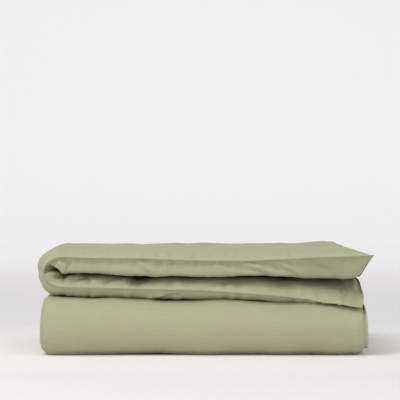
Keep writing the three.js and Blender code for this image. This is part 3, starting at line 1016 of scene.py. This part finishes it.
colour = tint(tree, colour, between(tree, slub, 0.0, 0.42), SAGE_PALE)
colour = tint(tree, colour, maths(tree, "MULTIPLY", weave, 0.16), SAGE_PALE)
rubbed = tree.nodes.new("ShaderNodeAttribute")
rubbed.attribute_name = "wear"
edge = maths(tree, "MULTIPLY", rubbed.outputs["Fac"], between(tree, slub, 0.15, 0.55), clamp=True)
colour = tint(tree, colour, edge, SAGE_PALE)
tree.links.new(colour, shader.inputs["Base Color"])
tree.links.new(between(tree, slub, 0.80, 0.94), shader.inputs["Roughness"])
shader.inputs["Sheen Weight"].default_value = 0.05
shader.inputs["Sheen Roughness"].default_value = 0.45
shader.inputs["Specular IOR Level"].default_value = 0.3
relief_1 = bump(tree, crumple, 0.0012, 0.35)
relief_2 = bump(tree, slub, 0.00012, 0.8, relief_1)
tree.links.new(bump(tree, weave, 0.00010, 0.7, relief_2), shader.inputs["Normal"])
for piece in cover_pieces.values():
    piece.data.materials.append(cotton)

# %% Ticking of the quilt
tree, shader = open_finish(ticking)
flat = cloth_map(tree)
twill = tree.nodes.new("ShaderNodeMapping")
twill.inputs["Rotation"].default_value = (0, 0, math.radians(63))
tree.links.new(flat, twill.inputs["Vector"])
ribs = bands(tree, twill.outputs["Vector"], "X", 0.0007)
grain = noise(tree, flat, 1.0, 2.0, stretch=(40, 500, 1))
colour = tint(tree, (0.80, 0.79, 0.75), between(tree, grain, 0.2, 0.9), (0.88, 0.875, 0.85))
colour = tint(tree, colour, maths(tree, "MULTIPLY", ribs, 0.15), (0.93, 0.93, 0.91))
tree.links.new(colour, shader.inputs["Base Color"])
tree.links.new(between(tree, grain, 0.70, 0.85), shader.inputs["Roughness"])
shader.inputs["Sheen Weight"].default_value = 0.15
tree.links.new(bump(tree, ribs, 0.0001, 0.6, bump(tree, grain, 0.0002, 0.5)), shader.inputs["Normal"])
for piece in quilt_pieces.values():
    piece.data.materials.append(ticking)

# %% Thread
tree, shader = open_finish(thread)
fibres = noise(tree, place_map(tree), 2400.0, 2.0)
colour = tint(tree, (0.350, 0.352, 0.225), between(tree, fibres, 0, 1), (0.46, 0.46, 0.32))
tree.links.new(colour, shader.inputs["Base Color"])
tree.links.new(between(tree, fibres, 0.5, 0.75), shader.inputs["Roughness"])
shader.inputs["Sheen Weight"].default_value = 0.2
tree.links.new(bump(tree, fibres, 0.00008, 0.6), shader.inputs["Normal"])

# %% Button resin
tree, shader = open_finish(resin)
spot = place_map(tree)
swirl = noise(tree, spot, 160.0, 5.0)
scratches = noise(tree, spot, 1.0, 2.0, stretch=(5000, 700, 700))
colour = tint(tree, (0.30, 0.31, 0.20), between(tree, swirl, 0, 1), (0.45, 0.45, 0.33))
tree.links.new(colour, shader.inputs["Base Color"])
tree.links.new(between(tree, scratches, 0.22, 0.42), shader.inputs["Roughness"])
shader.inputs["Coat Weight"].default_value = 0.25
tree.links.new(bump(tree, scratches, 0.00002, 0.5), shader.inputs["Normal"])

# %% Label tape
tree, shader = open_finish(tape)
flat = cloth_map(tree)
picks, ends = bands(tree, flat, "Y", 0.0005), bands(tree, flat, "X", 0.0009)
satin = maths(tree, "ADD", maths(tree, "MULTIPLY", picks, 0.7), maths(tree, "MULTIPLY", ends, 0.3))
dust = noise(tree, flat, 90.0, 3.0)
colour = tint(tree, (0.82, 0.81, 0.77), between(tree, dust, 0.3, 1), (0.90, 0.89, 0.86))
colour = tint(tree, colour, maths(tree, "MULTIPLY", satin, 0.2), (0.95, 0.95, 0.93))
tree.links.new(colour, shader.inputs["Base Color"])
tree.links.new(between(tree, dust, 0.45, 0.6), shader.inputs["Roughness"])
shader.inputs["Sheen Weight"].default_value = 0.1
tree.links.new(bump(tree, satin, 0.0001, 0.6), shader.inputs["Normal"])
label.data.materials.append(tape)
print("finishes", [m.name for m in (cotton, ticking, thread, resin, tape)])

# %% [markdown]
# ## Floor, light and camera
# Pale paper runs level under the stack and far behind it sweeps up, so no edge shows. Its colour holds
# painted light: it is painted brighter round the stack, where the stack's shade would fall, and painted
# brighter far behind.

# %% Floor
floor_mesh = bpy.data.meshes.new("floor")
SWEEP_START, SWEEP_RADIUS = 8.0, 3.0
# painted light: the paper is painted brighter round the stack, where its shade would fall, then fades to its
# own colour
PAINTED_LIGHT_FROM, PAINTED_LIGHT_OVER = 0.36, 0.6      # the paper is brightest this near the middle, then fades
sweep = [(-12.0, 0.0), (SWEEP_START, 0.0)]
sweep += [(SWEEP_START + SWEEP_RADIUS * math.sin(a), SWEEP_RADIUS * (1 - math.cos(a)))
          for a in np.linspace(0.08, math.pi / 2, 20)]
sweep += [(SWEEP_START + SWEEP_RADIUS, 12.0)]
verts = [(x, y, z) for y, z in sweep for x in (-14.0, 14.0)]
faces = [(2 * i, 2 * i + 1, 2 * i + 3, 2 * i + 2) for i in range(len(sweep) - 1)]
floor_mesh.from_pydata(verts, [], faces)
for polygon in floor_mesh.polygons:
    polygon.use_smooth = True
floor = add_object("floor", floor_mesh)
paper = new_finish("pale paper")
tree, shader = open_finish(paper)
far = tree.nodes.new("ShaderNodeVectorMath")
far.operation = "LENGTH"
tree.links.new(place_map(tree), far.inputs[0])
# painted light: the paper is painted brighter from 3 m out to 10.5 m, standing in for light on the far floor
# and sweep
painted_far_light_ramp = tree.nodes.new("ShaderNodeMapRange")
painted_far_light_ramp.interpolation_type = "SMOOTHSTEP"
painted_far_light_ramp.inputs["From Min"].default_value, painted_far_light_ramp.inputs["From Max"].default_value = 3.0, 10.5
# painted light: share of the painted bright patch round the stack, nought at the middle
painted_light_fade = maths(tree, "DIVIDE", far.outputs["Value"], PAINTED_LIGHT_OVER)
painted_light_fade = maths(tree, "SUBTRACT", painted_light_fade, PAINTED_LIGHT_FROM / PAINTED_LIGHT_OVER, clamp=True)
tree.links.new(far.outputs["Value"], painted_far_light_ramp.inputs["Value"])
# painted light: the first colour is the painted bright patch round the stack and the last is the far paper
# painted brighter; the middle one is the paper's own colour
painted_bright_paper, near_paper, painted_bright_far_paper = (0.90, 0.87, 0.855), (0.765, 0.740, 0.727), (0.95, 0.935, 0.92)
tree.links.new(tint(tree, tint(tree, painted_bright_paper, painted_light_fade, near_paper), painted_far_light_ramp.outputs["Result"], painted_bright_far_paper),
               shader.inputs["Base Color"])
shader.inputs["Roughness"].default_value = 1.0
floor_mesh.materials.append(paper)

# %% Light and camera
scene = bpy.context.scene
world = bpy.data.worlds.new("studio")
scene.world = world
world.use_nodes = True
world.node_tree.nodes["Background"].inputs["Color"].default_value = (0.95, 0.97, 1.0, 1)
world.node_tree.nodes["Background"].inputs["Strength"].default_value = 0.72
scene.view_settings.view_transform = "Standard"


def area_light(name, place, aim, size, power):
    data = bpy.data.lights.new(name, "AREA")
    data.shape = "RECTANGLE"
    data.size, data.size_y = size
    data.energy = power
    lamp = add_object(name, data)
    lamp.location = place
    lamp.rotation_euler = (Vector(aim) - Vector(place)).to_track_quat("-Z", "Y").to_euler()


area_light("key", (-1.6, -1.8, 3.2), (0, 0, 0.1), (2.6, 2.6), 66)
area_light("fill", (1.2, -4.0, 0.9), (0, 0, 0.1), (3.0, 1.6), 30)
area_light("backdrop", (0, 4.5, 4.5), (0, 8.5, 0.5), (10.0, 3.0), 115)

CAMERA_HEIGHT, CAMERA_AIM, CAMERA_DISTANCE, CAMERA_X = 0.40, 0.3665, 5.0, -0.007
LENS, SENSOR = 192, 36
camera_data = bpy.data.cameras.new("camera")
camera_data.lens, camera_data.sensor_width = LENS, SENSOR
camera = add_object("camera", camera_data)
front_plane = front_y - 2 * half_pressed
camera.location = (CAMERA_X, front_plane - CAMERA_DISTANCE, CAMERA_HEIGHT)
camera.rotation_euler = (math.pi / 2 - math.atan((CAMERA_HEIGHT - CAMERA_AIM) / CAMERA_DISTANCE), 0, 0)
scene.camera = camera
